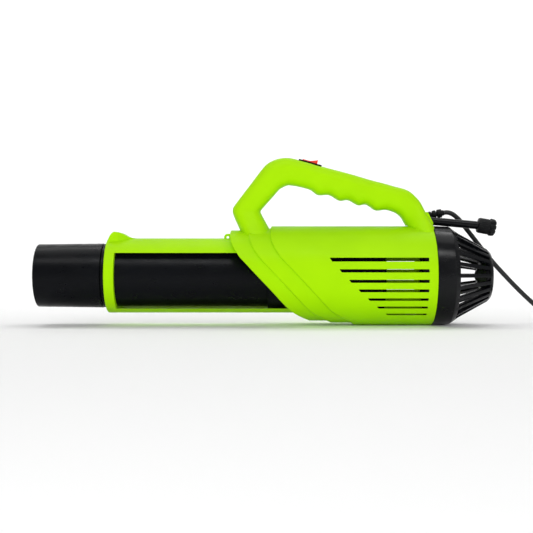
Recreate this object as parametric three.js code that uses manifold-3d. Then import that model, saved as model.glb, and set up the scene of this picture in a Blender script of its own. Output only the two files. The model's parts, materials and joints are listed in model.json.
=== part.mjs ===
// Hand-held electric air blower with a liquid feed, as carried on the hose of a knapsack sprayer.
// Millimetres, +Z up. The air leaves towards -X and enters at +X; +Y is the side the screws go in.
// Everything but the supply lead is built about the duct's axis and then lifted to stand on z = 0.
import * as THREE from 'three';
import { mergeVertices } from 'three/addons/utils/BufferGeometryUtils.js';
import Module from 'manifold-3d';

// ---------------------------------------------------------------- driving dimensions

const GAP = 0.3; // between pieces that touch
const WALL = 2.5; // moulded wall

const DUCT_R = 37.5;
const DUCT_BORE = 35.5;
const DUCT_END = 20; // inside the fan casing's socket
const NOZZLE_FRONT = -281;
const NOZZLE_REAR = -200.7;
const COLLAR_FRONT = -199.6;
const FRAME_FRONT = -195.3;
const WINDOW_FRONT = -183.2;
const WINDOW_TOP = 27.2;
const WINDOW_BOTTOM = [-39.9, -37.8]; // left side, right side
const FRAME_R = 45.6;

const BAND_R = [55.4, 57.9, 60.5]; // the body steps out twice behind its front lip
const BAND_SHIFT = [0, 23, 48.5];
const BODY_END = 199.7;
const MOUTH_R = 40;

const CASING_R = 45;
const CASING_BORE = 42.5;
const CASING_END = 141;
const ROTOR_R = 41.3;

const RING_START = 200;
const RING_R = 61;
const RING_KNEE = [221, 60];
const CAGE_KNEE = [232, 52.4]; // x and radius where the intake cage turns from bevel to cone
const CAGE_TIP = [268, 32.6];
const GUARD_END = 271.5;
const RIB_COUNT = 24;
const RIB_WIDTH = 4.2;
const FACETS = 44; // round the guard
const HALF_FACET = Math.PI / FACETS; // puts a flat facet underneath

const AXIS_HEIGHT = RING_R * Math.cos(HALF_FACET); // duct axis above the ground

// Slots through the body along Y. Left side: height of the middle, opening, start. Right side: the same.
const SLOTS_LEFT = [
  [19.1, 4.6, 73.9], [5.9, 3.8, 85.1], [-6.3, 3.6, 96.3], [-17.5, 3.4, 107.5], [-27.9, 3, 118.7],
  [-37.5, 2.5, 129.9], [-46, 2, 141.1],
];
const SLOTS_RIGHT = [
  [17, 2, 73.9], [8.1, 2.2, 85.1], [-5.4, 2.2, 96.3], [-17.7, 2.4, 107.5], [-27.9, 2.4, 118.7],
  [-37.5, 2.2, 129.9], [-46, 2, 141.1],
];
const SLOT_END = 189.3;

const HANDLE_WALL = 2.8;
const HANDLE_ROUNDNESS = 2.6; // exponent of the section's superellipse
const GRIP_SLOPE = THREE.MathUtils.degToRad(15.7);
const SWITCH_AT = [52, 138];
const ROCKER_TILT = THREE.MathUtils.degToRad(11);

const PIPE_R = 4.9;
const PIPE_BORE = 3;
const PIPE_FROM = [186, -5, 68];
const PIPE_SLOPE = THREE.MathUtils.degToRad(5.2);
const PIPE_LENGTH = 84;
const PIPE_COLLAR_R = 5.8;
const NUT_AT = [263.8, -5, 60.6];
const NUT_SLOPE = THREE.MathUtils.degToRad(10);
const GLAND_AT = [190, 7, 72.6];
const GLAND_SLOPE = THREE.MathUtils.degToRad(10); // upwards
const GLAND_LENGTH = 28;

const FEED_R = 2.5;
const FEED_Y = -5;
const FEED_Z = 51.3;
const WIRE_R = 1.5;

const CORD_R = 2.9;
const COIL_CENTRE = [390, 2.25];
const COIL_INNER = 19.6;
const COIL_OUTER = 40;
const COIL_LIFT = 0.9; // the tie passes underneath
const COIL_HEIGHT = 4 * CORD_R;

// Screws along Y: x, z and the y of the seat under the head.
const HANDLE_SCREWS = [[-28.5, 88, 8], [20, 134.5, 8], [152, 88.5, 8]];
const BODY_SCREWS = [[112, -51.3, 12], [178, -51.3, 12]];
const FRAME_SCREWS = [[-184, 48.6, 12]];
const SCREW_R = 1.5;
const SCREW_LENGTH = 19;
const SCREW_HEAD_R = 3.1;
const SCREW_HEAD_HEIGHT = 2.2;
const BOSS_R = 5.3;

// Handle stations, front foot to rear foot: outer x, outer z, inner x, inner z, half width.
const HANDLE_STATIONS = [
  [-19, 26, 20, 26, 33],
  [-26, 38, 13, 38, 32.5],
  [-30.4, 47.6, 6.5, 49, 30],
  [-36.5, 61, 0, 61.2, 22.5],
  [-42, 74, -7.4, 74.8, 17.5],
  [-42.9, 80.6, -8.6, 78.8, 16],
  [-39.7, 87.3, -6, 82.6, 15.5],
  [-23, 109.3, 3.4, 93.2, 15.5],
  [-7, 130.4, 11, 101.8, 15.5],
  [0.9, 138.1, 14.4, 105.6, 15.5],
  [10.2, 142.4, 18, 108, 15.5],
  [18.8, 144.2, 22, 109.8, 15.5],
  [27.4, 144.1, 27, 110.8, 15.5],
  [38, 141.7, 38, 109.1, 15.5],
  [52, 138, 51.8, 105.3, 15.5],
  [60, 135.6, 61.9, 98.8, 15.5],
  [74, 131.8, 75.4, 98.7, 15.5],
  [84, 129.2, 87.7, 92, 15.5],
  [96, 126, 98.8, 92.3, 15.5],
  [107, 122.9, 111.1, 86.3, 15.5],
  [119, 119.3, 120.9, 87, 15.5],
  [130, 116.2, 132.6, 80, 15.5],
  [143, 112.9, 145.5, 80.6, 15.5],
  [155, 109.4, 156, 77.4, 15.5],
  [166, 106.6, 162, 73.2, 15.5],
  [174.5, 102.7, 165, 69.4, 15.5],
  [182, 96, 167.5, 65, 16],
  [187.5, 88.8, 170.2, 60.6, 18],
  [194.4, 75.2, 174, 54, 23],
  [202, 61, 178, 46, 30],
  [209, 48, 183, 36, 33],
];

// Front edge of the body's first band in side view: x, z about the duct axis.
const LIP_EDGE = [
  [-43, 66], [-45.3, 46], [-36.5, 26.6], [-23.2, 11.3],
  [1.5, -15], [26.8, -41.6], [48.3, -54.2], [53.5, -57.5], [58, -62], [62, -68],
];

// Supply lead from its gland to the coil, z above the ground.
const CORD_ROUTE = [
  [217.9, 7, 138.4], [222.4, 7.2, 138.8], [228.2, 8, 137], [233.6, 9, 133.2],
  [238.2, 10.3, 129], [245.9, 13, 119.9], [253.4, 16, 111.3], [260.3, 19, 103.2],
  [267.2, 22, 95.2], [275.4, 25, 86], [284, 27, 76.3], [292.4, 28.8, 67.4],
  [305.5, 31.4, 54], [318.4, 33.4, 41.3], [327.5, 34.8, 32.9], [337, 35.8, 24.5],
  [346.5, 36.8, 16.6], [355, 37.4, 10.6], [362, 37.8, 6.6], [367, 37.9, 4.5],
];
// The lead's free end, from the coil to the plug.
const TAIL_ROUTE = [
  [427, -22, 8], [427.6, -28, 7], [429, -34, 5.8], [429.9, -38.5, 5.35], [430, -41, 5.3],
];
const PLUG_AT = [430, -41.5, 5.3];

// ---------------------------------------------------------------- solids

const wasm = await Module();
wasm.setup();

function makeManifold(positions, triangles) {
  return new wasm.Manifold(new wasm.Mesh({ numProp: 3, vertProperties: positions, triVerts: triangles }));
}

// A geometry as a solid that can be joined and cut, with its faces turned outwards.
function solid(geometry) {
  const bare = geometry.clone();
  bare.deleteAttribute('normal');
  bare.deleteAttribute('uv');
  const merged = mergeVertices(bare, 1e-4);
  const triangles = new Uint32Array(merged.index.array);
  const made = makeManifold(merged.attributes.position.array, triangles);
  return made.volume() < 0 ? makeManifold(merged.attributes.position.array, triangles.reverse()) : made;
}

function geometryOf(manifold) {
  const mesh = manifold.getMesh();
  const geometry = new THREE.BufferGeometry();
  geometry.setAttribute('position', new THREE.BufferAttribute(mesh.vertProperties, 3));
  geometry.setIndex(new THREE.BufferAttribute(mesh.triVerts, 1));
  geometry.computeVertexNormals();
  return geometry;
}

const join = (solids) => solids.reduce((whole, part) => whole.add(part));
const cut = (whole, tools) => tools.reduce((rest, tool) => rest.subtract(tool), whole);

const boxGeometry = (x0, x1, y0, y1, z0, z1) =>
  new THREE.BoxGeometry(x1 - x0, y1 - y0, z1 - z0).translate((x0 + x1) / 2, (y0 + y1) / 2, (z0 + z1) / 2);
const box = (...corners) => solid(boxGeometry(...corners));

// Turned about the X axis from a closed profile of [x, radius].
function latheGeometry(profile, segments = 40) {
  const closed = profile.every(([, r]) => r > 0) ? [...profile, profile[0]] : profile;
  const points = closed.map(([x, r]) => new THREE.Vector2(r, x));
  return new THREE.LatheGeometry(points, segments).rotateZ(-Math.PI / 2);
}
const lathe = (profile, segments) => solid(latheGeometry(profile, segments));

const disc = (x0, x1, radius, segments = 40) =>
  lathe([[x0, 0], [x0, radius], [x1, radius], [x1, 0]], segments);
const pipe = (x0, x1, outer, bore, segments) =>
  lathe([[x0, outer], [x1, outer], [x1, bore], [x0, bore]], segments);

// A side-view outline of [x, z], extruded along Y from y0 to y1.
function prismGeometry(outline, y0, y1) {
  const shape = new THREE.Shape(outline.map(([x, z]) => new THREE.Vector2(x, z)));
  const depth = y1 - y0;
  const bar = new THREE.ExtrudeGeometry(shape, { depth, bevelEnabled: false });
  return bar.rotateX(Math.PI / 2).translate(0, y1, 0);
}
const prism = (outline, y0, y1) => solid(prismGeometry(outline, y0, y1));

const pinAlongY = (x, z, radius, y0, y1, segments = 20) =>
  solid(new THREE.CylinderGeometry(radius, radius, y1 - y0, segments).translate(x, (y0 + y1) / 2, z));

// Turned geometry laid from a point along a direction that drops by a slope towards +X.
const aimed = (geometry, [x, y, z], slope) => geometry.rotateY(slope).translate(x, y, z);

// A round bar along a smooth route.
function barGeometry(points, radius, sides, steps) {
  const path = new THREE.CatmullRomCurve3(points.map((p) => new THREE.Vector3(...p)), false, 'centripetal');
  const corners = Array.from({ length: sides }, (_, i) => {
    const turn = (2 * Math.PI * i) / sides;
    return new THREE.Vector2(radius * Math.cos(turn), radius * Math.sin(turn));
  });
  return new THREE.ExtrudeGeometry(new THREE.Shape(corners), { steps, extrudePath: path });
}

// ---------------------------------------------------------------- the group

const machine = new THREE.Group();
machine.position.z = AXIS_HEIGHT;
const lead = new THREE.Group();
const blower = new THREE.Group();
blower.add(machine, lead);

const FINISHES = {
  green: [0xaef000, 0.35, 0],
  black: [0x14161c, 0.3, 0],
  matteBlack: [0x1a1c20, 0.6, 0],
  red: [0xf0421e, 0.35, 0],
  white: [0xd9dde0, 0.4, 0],
  steel: [0xb4b7bb, 0.3, 1],
  brass: [0xc8a24a, 0.3, 1],
  rubber: [0x202226, 0.8, 0],
};

function add(name, made, finish, parent = machine) {
  const [color, roughness, metalness] = FINISHES[finish];
  const material = new THREE.MeshStandardMaterial({ color, roughness, metalness });
  const mesh = new THREE.Mesh(made.isBufferGeometry ? made : geometryOf(made), material);
  mesh.name = name;
  parent.add(mesh);
  return mesh;
}

// The two mouldings of a clamshell part, one each side of the middle plane.
function addHalves(name, whole) {
  add(`${name}_left`, whole.intersect(box(-400, 400, -100, -GAP / 2, -100, 200)), 'green');
  add(`${name}_right`, whole.intersect(box(-400, 400, GAP / 2, 100, -100, 200)), 'green');
}

// ---------------------------------------------------------------- feed line and wires, inside

const FEED_ROUTE = [
  [185.4, FEED_Y, 68], [178, FEED_Y, 66], [168, FEED_Y, 56.5], [156, FEED_Y, FEED_Z], [90, FEED_Y, FEED_Z],
  [30, FEED_Y, FEED_Z], [4, FEED_Y, 50], [-12, FEED_Y, 43], [-22, -4, 35.5], [-38, -2, 30], [-60, 0, 29.4],
  [-140, 0, 29.4], [-205, 0, 29.4], [-222, 0, 25], [-230, 0, 14], [-235, 0, 4], [-243.7, 0, 0],
];
const MOTOR_WIRE_ROUTE = [
  [37, 4, 2], [32.5, 3, 10], [28.5, 2, 26], [27, 2, 40], [18, 2, 49.5], [2, 2, 53], [-6, 1, 60], [-16, 0, 74],
  [-17, 0, 86], [-4, 0, 106], [10, 0, 119], [26, 0, 121.8], [40.4, 0, 122.4],
];
const SUPPLY_WIRE_ROUTE = [
  [188.6, 7, 72.4], [183.6, 6.4, 74.4], [179, 4, 80.5], [170, 1, 90], [154, 0, 97.5], [130, 0, 103],
  [100, 0, 112], [74, 0, 117], [62, 0, 119.2], [52.8, 0, 120.2],
];

const feedTube = barGeometry(FEED_ROUTE, FEED_R, 6, 40);
const feedClearance = solid(barGeometry(FEED_ROUTE, FEED_R + 0.8, 6, 40));
const motorWire = barGeometry(MOTOR_WIRE_ROUTE, WIRE_R, 6, 26);
const motorWireClearance = solid(barGeometry(MOTOR_WIRE_ROUTE, WIRE_R + 0.8, 6, 26));
add('feed_tube', feedTube, 'white');
add('motor_wire', motorWire, 'red');
add('supply_wire', barGeometry(SUPPLY_WIRE_ROUTE, WIRE_R, 6, 20), 'matteBlack');

// ---------------------------------------------------------------- duct and nozzle

const ductTube = cut(
  lathe([
    [-225, 36.4], [COLLAR_FRONT, 36.4], [COLLAR_FRONT, 39], [FRAME_FRONT - GAP, 39],
    [FRAME_FRONT - GAP, DUCT_R], [DUCT_END, DUCT_R], [DUCT_END, DUCT_BORE], [-200, DUCT_BORE], [-225, 34.8],
  ]),
  [feedClearance],
);
add('duct_tube', ductTube, 'black');

add('nozzle_sleeve', lathe([
  [NOZZLE_FRONT, 35.4], [NOZZLE_FRONT, 37.6], [NOZZLE_FRONT + 0.8, 38.4], [NOZZLE_REAR, 39.3],
  [NOZZLE_REAR, 36.8], [-226, 36.8], [-228, 35.4],
]), 'black');

add('duct_seal', pipe(DUCT_END + GAP, DUCT_END + 1.8, 37.4, 36, 28), 'rubber');

// Spray head: a hub on the axis held in the nozzle by a ring and three arms, with a tip in front.
const SPIDER_FRONT = -262;
const sprayArm = (turn) => solid(boxGeometry(-258, -248, -1.5, 1.5, 6, 33.6).rotateX(turn));
const sprayHead = cut(join([
  pipe(SPIDER_FRONT, -244, 35.1, 33, 36),
  disc(-259, -244, 7.5, 24),
  ...[0, 1, 2].map((i) => sprayArm((i * 2 * Math.PI) / 3)),
]), [disc(-245, -243, 3, 16)]);
add('spray_head', sprayHead, 'matteBlack');
add('spray_tip', lathe([
  [-268, 0], [-268, 2], [-266.5, 4.5], [-262, 5.5], [-259.3, 5.5], [-259.3, 0],
], 18), 'brass');

// ---------------------------------------------------------------- fan casing, motor and rotor

const fanCasing = cut(
  lathe([
    [0, 40.4], [DUCT_END + 3, 40.4], [48, CASING_R], [CASING_END - 1, CASING_R], [CASING_END, 44.2],
    [CASING_END, 43.4], [138, CASING_BORE], [50, CASING_BORE], [DUCT_END + 2.2, 35.8], [DUCT_END + 2.2, 37.8],
    [0, 37.8],
  ]),
  [feedClearance, motorWireClearance],
);
add('fan_casing', fanCasing, 'black');

const VANE_COUNT = 7;
const vane = (turn) => solid(boxGeometry(62, 92, -1, 1, 19.5, 41.2).rotateX(turn));
const MOTOR_SCREWS_R = 9;
const motorScrewHole = (side) => solid(
  latheGeometry([[95, 0], [95, 1.8], [110, 1.8], [110, 0]], 16).translate(0, side * MOTOR_SCREWS_R, 0),
);
const stator = cut(join([
  pipe(60, 94, CASING_BORE - GAP, 40.8),
  pipe(56, 102, 20.6, 18.4, 28),
  pipe(99.2, 102, 20, 5, 28),
  ...Array.from({ length: VANE_COUNT }, (_, i) => vane((i * 2 * Math.PI) / VANE_COUNT + 0.22)),
]), [motorScrewHole(1), motorScrewHole(-1)]);
add('stator', stator, 'matteBlack');

const motorCan = cut(
  lathe([[47, 0], [47, 18], [98.5, 18], [98.5, 0]], 28),
  [disc(96, 99, 3, 20), motorScrewHole(1), motorScrewHole(-1)],
);
add('motor_can', motorCan, 'steel');
add('motor_end_cap', lathe([[39, 0], [39, 9], [42, 16.5], [46.7, 18], [46.7, 0]], 28), 'matteBlack');
for (const side of [1, -1]) {
  const screw = latheGeometry(
    [[96, 0], [96, SCREW_R], [102.3, SCREW_R], [102.3, 2.8], [104.2, 2.4], [104.2, 0]], 16,
  );
  add(`motor_screw_${side > 0 ? 'right' : 'left'}`, screw.translate(0, side * MOTOR_SCREWS_R, 0), 'steel');
}

add('motor_shaft', lathe([[96.4, 0], [96.4, 2.5], [133.4, 2.5], [133.4, 0]], 20), 'steel');

const BLADE_COUNT = 9;
const bladePitch = THREE.MathUtils.degToRad(38);
const blade = (turn) =>
  solid(boxGeometry(-13, 13, -1, 1, 11, 46).rotateZ(bladePitch).translate(120, 0, 0).rotateX(turn));
const blades = Array.from({ length: BLADE_COUNT }, (_, i) => blade((i * 2 * Math.PI) / BLADE_COUNT));
const impeller = cut(
  join([...blades, disc(108, 131.7, 14, 24)]).intersect(disc(105, 135, ROTOR_R)),
  [disc(105, 140, 2.5 + GAP, 20), pipe(107, 128, 11.5, 5, 24)],
);
add('impeller', impeller, 'matteBlack');
add('spinner', lathe([
  [133.7, 0], [133.7, 2.9], [132, 2.9], [132, 13.8], [134.5, 11.6], [137, 7.5], [138.4, 0],
], 24), 'black');

// ---------------------------------------------------------------- intake guard

const guardLathe = (profile) => solid(latheGeometry(profile, FACETS).rotateX(HALF_FACET));
const guardShell = guardLathe([
  [195.5, 57.1], [RING_START, 57.1], [RING_START, RING_R - 0.6], [RING_START + 0.6, RING_R], RING_KNEE,
  [226.8, 56], [225, 53], [219, 56.6], [202, 57.1 - WALL], [195.5, 57.1 - WALL],
]);
const guardEnd = guardLathe([
  [253.5, 0], [254.5, 3], [263, 24.5], [267.2, 26.2], [267.2, 32.2], CAGE_TIP, [270.6, 31], [GUARD_END, 29],
  [GUARD_END, 0],
]);
const ribOutline = [
  [222, 58.9], CAGE_KNEE, [CAGE_TIP[0] - 0.4, CAGE_TIP[1] + 0.1], [267.6, 26], [263.4, 27.2], [230.8, 47.6],
  [222, 55.4],
];
const ribGeometry = prismGeometry(ribOutline, -RIB_WIDTH / 2, RIB_WIDTH / 2);
const ribs = Array.from({ length: RIB_COUNT }, (_, i) =>
  solid(ribGeometry.clone().rotateX((2 * Math.PI * i) / RIB_COUNT)));
add('intake_guard', join([guardShell, guardEnd, ...ribs]), 'black');
const guardClearance = disc(RING_START - GAP, 230, RING_R + GAP);

// ---------------------------------------------------------------- rear fittings

const hosePipe = aimed(latheGeometry([
  [0, PIPE_R], [PIPE_LENGTH - 3, PIPE_R], [PIPE_LENGTH - 3, PIPE_COLLAR_R], [PIPE_LENGTH, PIPE_COLLAR_R],
  [PIPE_LENGTH, PIPE_BORE], [0, PIPE_BORE],
], 24), PIPE_FROM, PIPE_SLOPE);
add('hose_pipe', hosePipe, 'black');
const pipeClearance = solid(
  aimed(latheGeometry([[-8, 0], [-8, PIPE_R + GAP], [40, PIPE_R + GAP], [40, 0]], 24), PIPE_FROM, PIPE_SLOPE),
);
add('hose_gasket', aimed(latheGeometry([
  [PIPE_LENGTH + GAP, 5.6], [PIPE_LENGTH + 1.8, 5.6], [PIPE_LENGTH + 1.8, 3.4], [PIPE_LENGTH + GAP, 3.4],
], 20), PIPE_FROM, PIPE_SLOPE), 'rubber');

// The nut stands a few degrees askew on the pipe's collar until a hose is screwed on.
const LOBES = 8;
const nutFlange = solid(prismGeometry(
  Array.from({ length: LOBES * 4 }, (_, i) => {
    const turn = (2 * Math.PI * i) / (LOBES * 4);
    const radius = 9.9 + 0.75 * Math.cos(LOBES * turn);
    return [radius * Math.cos(turn), radius * Math.sin(turn)];
  }), 7, 14.5,
).rotateZ(-Math.PI / 2));
const nut = cut(join([
  nutFlange,
  lathe([[-7, 0], [-7, 8.4], [-6, 9.4], [7.2, 9.4], [7.2, 0]], 24),
]), [disc(-8, 16, 5.7, 24), disc(-1.5, 16, 7.3, 24)]);
add('hose_nut', aimed(geometryOf(nut), NUT_AT, NUT_SLOPE), 'black');

// Cable gland: a plain nose in the moulding, then three ribs that grow towards the lead, and a short tail.
const GLAND_NOSE_R = 3.9;
const glandProfile = [
  [0, 0], [0, GLAND_NOSE_R], [8.4, GLAND_NOSE_R], [8.4, 4.5], [12, 4.5], [12.4, 3.8], [13.6, 3.8], [14, 5],
  [17.8, 5], [18.2, 3.8], [19.4, 3.8], [19.8, 5.3], [25, 5.3], [25.6, 3.9], [GLAND_LENGTH, 3.5],
  [GLAND_LENGTH, 0],
];
add('cable_gland', aimed(latheGeometry(glandProfile, 14), GLAND_AT, -GLAND_SLOPE), 'matteBlack');
const glandClearance = solid(
  aimed(latheGeometry([
    [-2, 0], [-2, GLAND_NOSE_R + GAP], [8, GLAND_NOSE_R + GAP], [8, 5.7], [28, 5.7], [28, 0],
  ], 20), GLAND_AT, -GLAND_SLOPE),
);

// ---------------------------------------------------------------- screws and their bosses

const boss = ([x, z]) => pinAlongY(x, z, BOSS_R, -30, 30, 12);
const screwHole = ([x, z, seat]) => pinAlongY(x, z, SCREW_R + GAP, seat - SCREW_LENGTH - 1, 60, 8);
const counterbore = ([x, z, seat]) => pinAlongY(x, z, SCREW_HEAD_R + 0.5, seat, 60, 12);

function addScrews(name, spots) {
  spots.forEach(([x, z, seat], i) => {
    const head = lathe([
      [GAP, 0], [GAP, SCREW_HEAD_R], [1.4, SCREW_HEAD_R], [SCREW_HEAD_HEIGHT, 2.2], [SCREW_HEAD_HEIGHT, 0],
    ], 12);
    const shank = disc(GAP - SCREW_LENGTH, 1, SCREW_R, 8);
    const recess = [box(1.2, 4, -0.4, 0.4, -1.5, 1.5), box(1.2, 4, -1.5, 1.5, -0.4, 0.4)];
    const screw = geometryOf(cut(head.add(shank), recess)).rotateZ(Math.PI / 2).translate(x, seat, z);
    add(`${name}_screw_${i + 1}`, screw, 'steel');
  });
}

// ---------------------------------------------------------------- front frame

// Everything behind the body's front edge, moved back by a shift.
const lipCurve = new THREE.SplineCurve(LIP_EDGE.map((p) => new THREE.Vector2(...p)));
function behindEdge(shift) {
  const edge = lipCurve.getPoints(12).map((p) => [p.x + shift, p.y]);
  const [top, bottom] = [edge[0][1], edge.at(-1)[1]];
  return prism([...edge, [300, bottom], [300, top]], -80, 80);
}

const EYELET_AT = [-49, 46.7];
function eyelet(radius, halfWidth) {
  const [x, z] = EYELET_AT;
  const barrel = pinAlongY(x, z, radius, -halfWidth, halfWidth, 12);
  return barrel.add(box(x, x + 8, -halfWidth, halfWidth, z - radius, z + radius));
}

// The screw boss on top of the ring narrows towards the rear, so its side view is cut to a wedge from above.
const humpOutline = [
  [FRAME_FRONT, 38.7], [-191.2, 48.6], [-188.7, 51.7], [-186.2, 53.1], [-181.4, 52.7], [-176.6, 50.8],
  [-171.7, 48], [-166.9, 46.2], [-161, 45], [-161, 38.7],
];
const humpPlan = [[-200, 20], [-185, 20], [-161, 5], [-161, -5], [-185, -20], [-200, -20]];
const humpWedge = solid(prismGeometry(humpPlan, 30, 60).rotateX(Math.PI / 2));
const hump = cut(prism(humpOutline, -21, 21).intersect(humpWedge), [disc(-200, -158, 42.6)]);
const frame = cut(join([
  lathe([
    [FRAME_FRONT, FRAME_R - 1.2], [FRAME_FRONT + 1.2, FRAME_R], [60, FRAME_R], [60, FRAME_R - WALL],
    [WINDOW_FRONT, FRAME_R - WALL], [WINDOW_FRONT, DUCT_R + 0.4], [FRAME_FRONT, DUCT_R + 0.4],
  ]),
  hump,
]), [
  box(WINDOW_FRONT, 70, -80, 0, WINDOW_BOTTOM[0], WINDOW_TOP),
  box(WINDOW_FRONT, 70, 0, 80, WINDOW_BOTTOM[1], WINDOW_TOP),
  behindEdge(-GAP),
  eyelet(4.6 + GAP, 3 + GAP),
  ...FRAME_SCREWS.map(screwHole),
  ...FRAME_SCREWS.map(counterbore),
]);
addHalves('frame', frame);
addScrews('frame', FRAME_SCREWS);

// ---------------------------------------------------------------- body

// The body's stepped outer form, shrunk by an inset.
const bodyForm = (inset) => join(BAND_R.map((radius, i) =>
  disc(-80, BODY_END, radius - inset, 48).intersect(behindEdge(BAND_SHIFT[i] + inset))));
const bodyOuter = bodyForm(0);
const bodyRibForm = bodyForm(1);

// The front end of a slot leans back towards the bottom.
const slotCutter = ([z, opening, start], y0, y1) => prism([
  [start - 1.5, z + opening / 2], [SLOT_END, z + opening / 2], [SLOT_END, z - opening / 2],
  [start + 1.5, z - opening / 2],
], y0, y1);
const slots = [
  ...SLOTS_LEFT.map((slot) => slotCutter(slot, -70, -10)),
  ...SLOTS_RIGHT.map((slot) => slotCutter(slot, 10, 70)),
];

const casingRibs = cut(
  join([
    bodyRibForm.intersect(box(62, 64.5, -80, 80, -80, 80)),
    bodyRibForm.intersect(box(120, 122.5, -80, 80, 46, 80)),
    bodyRibForm.intersect(box(120, 122.5, -80, 80, -80, -48)),
  ]),
  [disc(50, 130, CASING_R + 0.4)],
);
// The mouth clears the duct, then the fan casing's socket and cone.
const mouth = lathe([
  [-80, 0], [-80, MOUTH_R], [-3, MOUTH_R], [-3, 40.8], [DUCT_END + 3, 40.8], [48.4, CASING_R + 0.4],
  [90, CASING_R + 0.4], [90, 0],
]);
const bodyBosses = join(BODY_SCREWS.map(boss)).intersect(bodyRibForm);
const body = cut(join([
  cut(bodyOuter, [bodyForm(WALL), mouth, disc(190, 210, BAND_R[2] - WALL)]),
  casingRibs,
  bodyBosses,
  eyelet(4.6, 3).intersect(box(-60, -43, -10, 10, 30, 60)),
]), [
  pinAlongY(...EYELET_AT, 1.7, -5, 5, 8),
  ...slots,
  box(-16, 2, -8, 8, 48, 62), // wires into the front foot
  box(170, 193, -13, 13, 50, 62), // feed and lead into the rear foot
  feedClearance,
  motorWireClearance,
  ...BODY_SCREWS.map(screwHole),
  ...BODY_SCREWS.map(counterbore),
]);
addHalves('body', body);
addScrews('body', BODY_SCREWS);

// ---------------------------------------------------------------- handle

const curveOf = (columns) => new THREE.SplineCurve(
  HANDLE_STATIONS.map((station) => new THREE.Vector2(station[columns[0]], station[columns[1]])),
);
const outerCurve = curveOf([0, 1]);
const innerCurve = curveOf([2, 3]);
const widthCurve = new THREE.SplineCurve(HANDLE_STATIONS.map((s, i) => new THREE.Vector2(i, s[4])));
const squircle = (value) => Math.sign(value) * Math.abs(value) ** (2 / HANDLE_ROUNDNESS);

// The handle's form shrunk by an inset: a cylinder whose rings are laid across the stations.
function handleForm(inset, sides, steps) {
  const geometry = new THREE.CylinderGeometry(1, 1, 1, sides, steps);
  const position = geometry.attributes.position;
  for (let i = 0; i < position.count; i++) {
    const t = 0.5 - position.getY(i);
    const outer = outerCurve.getPoint(t);
    const inner = innerCurve.getPoint(t);
    const middle = outer.clone().add(inner).multiplyScalar(0.5);
    const across = outer.clone().sub(inner).multiplyScalar(0.5);
    const depth = across.length() - inset;
    const half = widthCurve.getPoint(t).y - inset;
    across.setLength(depth * squircle(position.getX(i)));
    position.setXYZ(i, middle.x + across.x, half * squircle(position.getZ(i)), middle.y + across.y);
  }
  return solid(geometry);
}

const switchBox = (...corners) => solid(
  boxGeometry(...corners).rotateY(GRIP_SLOPE).translate(SWITCH_AT[0], 0, SWITCH_AT[1]),
);
const portPad = prism([[190.5, 77], [195, 77.4], [201.4, 64.5], [201.4, 61], [190, 61]], -13, 13);
const handle = cut(join([
  cut(handleForm(0, 14, 50), [handleForm(HANDLE_WALL, 8, 25)]),
  join(HANDLE_SCREWS.map(boss)).intersect(handleForm(1, 8, 25)),
  cut(portPad, [box(180, 192.4, -20, 20, 50, 90)]),
]), [
  disc(-80, BODY_END + GAP, BAND_R[2] + GAP, 48).intersect(behindEdge(BAND_SHIFT[2] - GAP)),
  disc(-80, BODY_END + GAP, BAND_R[1] + GAP, 48).intersect(behindEdge(BAND_SHIFT[1] - GAP)),
  disc(-80, 90, BAND_R[0] + GAP, 48),
  guardClearance,
  switchBox(-13.9, 13.9, -6.6, 6.6, -24, 6),
  switchBox(-14.8, 14.8, -7.8, 7.8, -1.4, 6),
  pipeClearance,
  glandClearance,
  feedClearance,
  motorWireClearance,
  ...HANDLE_SCREWS.map(screwHole),
  ...HANDLE_SCREWS.map(counterbore),
]);
addHalves('handle', handle);
addScrews('handle', HANDLE_SCREWS);

// ---------------------------------------------------------------- rocker switch

const switchGroup = new THREE.Group();
switchGroup.position.set(SWITCH_AT[0], 0, SWITCH_AT[1]);
switchGroup.rotation.y = GRIP_SLOPE;
machine.add(switchGroup);

const switchBody = cut(join([
  box(-13.5, 13.5, -6.2, 6.2, -13, 0),
  box(-14.5, 14.5, -7.5, 7.5, -1, 0.9),
]), [box(-10.9, 10.9, -5.1, 5.1, -8, 3)]);
add('switch_body', switchBody, 'black', switchGroup);
const rockerSide = [[-9.5, 4.2], [0, 2.4], [9.5, 4.2], [9.8, -0.5], [5, -4.5], [-5, -4.5], [-9.8, -0.5]];
const rocker = prismGeometry(rockerSide, -4.7, 4.7).rotateY(-ROCKER_TILT);
add('switch_rocker', rocker, 'red', switchGroup);
for (const [index, x] of [-6, 4].entries()) {
  const terminal = boxGeometry(x - 0.4, x + 0.4, -2.4, 2.4, -19, -13 - GAP);
  add(`switch_terminal_${index + 1}`, terminal, 'brass', switchGroup);
}

// ---------------------------------------------------------------- supply lead, above the ground

const cordSteps = 26;
add('cord_run', barGeometry(CORD_ROUTE, CORD_R, 8, cordSteps), 'rubber', lead);
add('cord_tail', barGeometry(TAIL_ROUTE, CORD_R, 8, 5), 'rubber', lead);

const [coilX, coilY] = COIL_CENTRE;
const coilTop = COIL_LIFT + COIL_HEIGHT;
const coil = latheGeometry([
  [COIL_LIFT, COIL_INNER + 1], [COIL_LIFT, COIL_OUTER - 1], [COIL_LIFT + 1, COIL_OUTER],
  [coilTop - 1, COIL_OUTER], [coilTop, COIL_OUTER - 1], [coilTop, COIL_INNER + 1], [coilTop - 1, COIL_INNER],
  [COIL_LIFT + 1, COIL_INNER],
], 28).rotateY(-Math.PI / 2).translate(coilX, coilY, 0);
add('cord_coil', coil, 'rubber', lead);

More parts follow.
